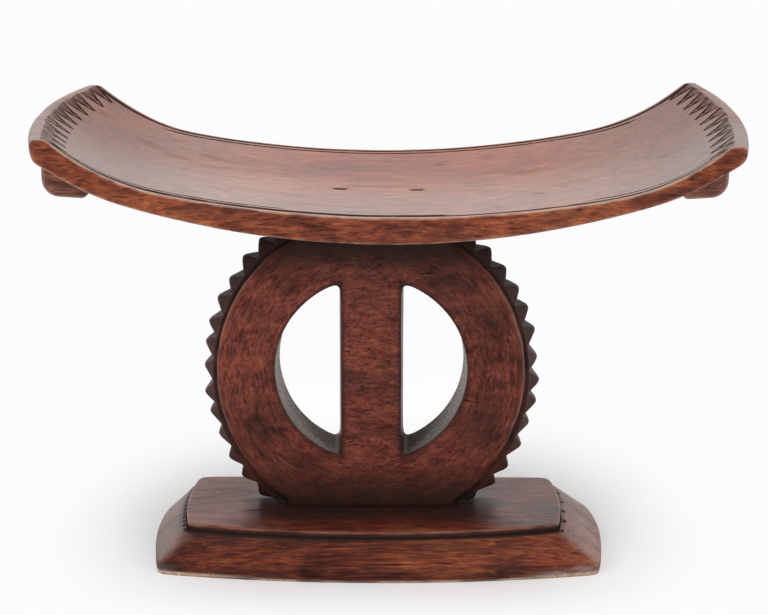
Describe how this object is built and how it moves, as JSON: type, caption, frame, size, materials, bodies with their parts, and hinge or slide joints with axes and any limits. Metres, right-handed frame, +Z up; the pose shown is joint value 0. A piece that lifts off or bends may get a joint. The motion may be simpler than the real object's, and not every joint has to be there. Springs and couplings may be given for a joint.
{
  "type": "stool",
  "caption": "Asante-style carved stool: curved saddle seat with raised ends and grips, carried by an upright toothed wheel with a middle post, on a raised plinth and a bevelled base.",
  "frame": {"origin": "middle of the base's flat underside, on the floor", "axes": "+X along the seat, towards its right end seen from the front; +Y to the back; +Z up"},
  "size_m": [0.542, 0.239, 0.3629],
  "materials": {
    "seat_wood": "oiled and waxed, satin, worn",
    "lug_wood": "oiled and waxed, satin, worn",
    "wheel_wood": "oiled and waxed, satin, worn",
    "plinth_wood": "oiled and waxed, satin, worn",
    "base_wood": "oiled and waxed, satin, worn",
    "peg_wood": "oiled and waxed, satin, worn"
  },
  "bodies": {
    "root": {"seat": "seat_wood", "seat_pegs": "peg_wood", "lug_left": "lug_wood", "lug_right": "lug_wood", "lug_pegs": "peg_wood", "wheel": "wheel_wood", "plinth": "plinth_wood", "base": "base_wood", "base_pegs": "peg_wood"}
  },
  "joints": []
}
